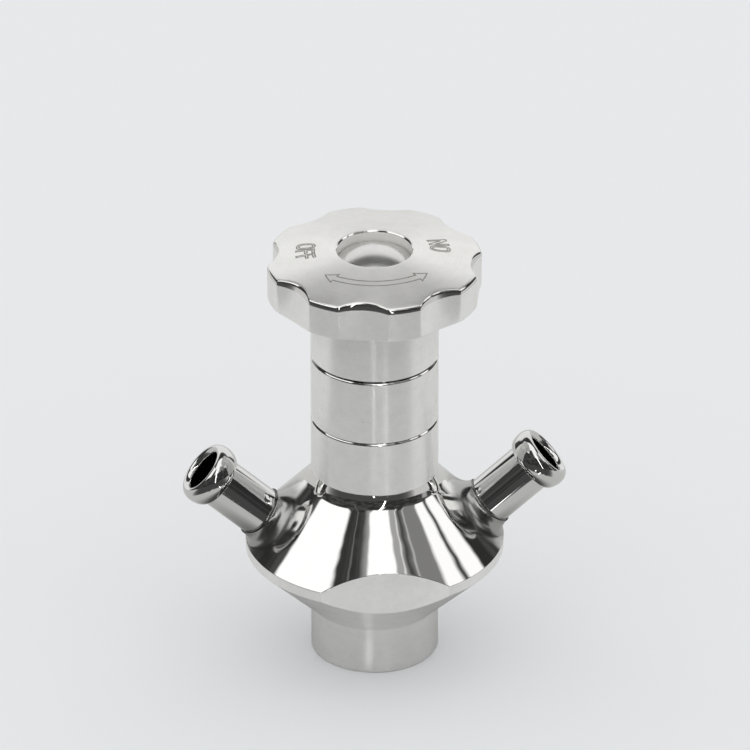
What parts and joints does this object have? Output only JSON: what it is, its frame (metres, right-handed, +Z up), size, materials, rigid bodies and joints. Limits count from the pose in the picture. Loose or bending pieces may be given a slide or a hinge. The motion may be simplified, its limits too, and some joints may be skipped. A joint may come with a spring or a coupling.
{
  "type": "sanitary diaphragm valve",
  "caption": "Weld-in sanitary diaphragm sampling valve: lobed handwheel on a ringed neck, double-cone body with wrench flats, two angled hose ports and a weld spigot.",
  "frame": {"origin": "centre of the weld spigot's lower face, on the stem's axis", "axes": "+Z up the stem towards the handwheel; the hose ports lie in the XZ plane, the sample port at -X and the steam port at +X; the wrench flats face +Y and -Y"},
  "size_m": [0.0966, 0.0564, 0.1135],
  "materials": {
    "body_steel": "mirror-polished upper cone, satin neck, flats, under cone and spigot",
    "bonnet_steel": "satin turned",
    "wheel_steel": "satin crown and rim, polished bevel, thin laser-marked ON and OFF and arrow",
    "port_steel": "mirror-polished",
    "cap_steel": "semi-polished",
    "machined_steel": "turned",
    "hardened_steel": "ground",
    "bearing_bronze": "turned",
    "bearing_plastic": "matt",
    "silicone": "matt, translucent",
    "seal_rubber": "matt"
  },
  "bodies": {
    "body": {"valve_body": "body_steel", "sample_port_tube": "port_steel", "steam_port_tube": "port_steel", "diaphragm": "silicone", "diaphragm_clamp_ring": "machined_steel", "bonnet": "bonnet_steel", "bonnet_seal_ring": "seal_rubber", "journal_seal_ring": "seal_rubber", "stem_bushing": "bearing_plastic", "stem_seal_ring": "seal_rubber", "lower_thrust_washer": "bearing_bronze", "upper_thrust_washer": "bearing_bronze", "retaining_ring": "machined_steel"},
    "wheel": {"handwheel": "wheel_steel", "drive_sleeve": "machined_steel", "hub_key": "hardened_steel", "hub_bushing": "bearing_bronze", "lock_nut": "machined_steel", "cap_seal_ring": "seal_rubber"},
    "stem": {"stem": "machined_steel", "guide_pin": "hardened_steel", "diaphragm_insert": "machined_steel", "indicator_cap": "cap_steel"}
  },
  "joints": [
    {"name": "handwheel_turn", "type": "hinge", "parent": "body", "child": "wheel", "pos_m": [0, 0, 0.0981], "axis": [0, 0, 1], "range_deg": [0, 720]},
    {"name": "stem_lift", "type": "slide", "parent": "body", "child": "stem", "axis": [0, 0, 1], "range_m": [0, 0.003], "deforming": ["diaphragm"]}
  ],
  "couplings": [
    {"joint": "stem_lift", "follows": "handwheel_turn", "m_per_rad": 0.00023873}
  ]
}
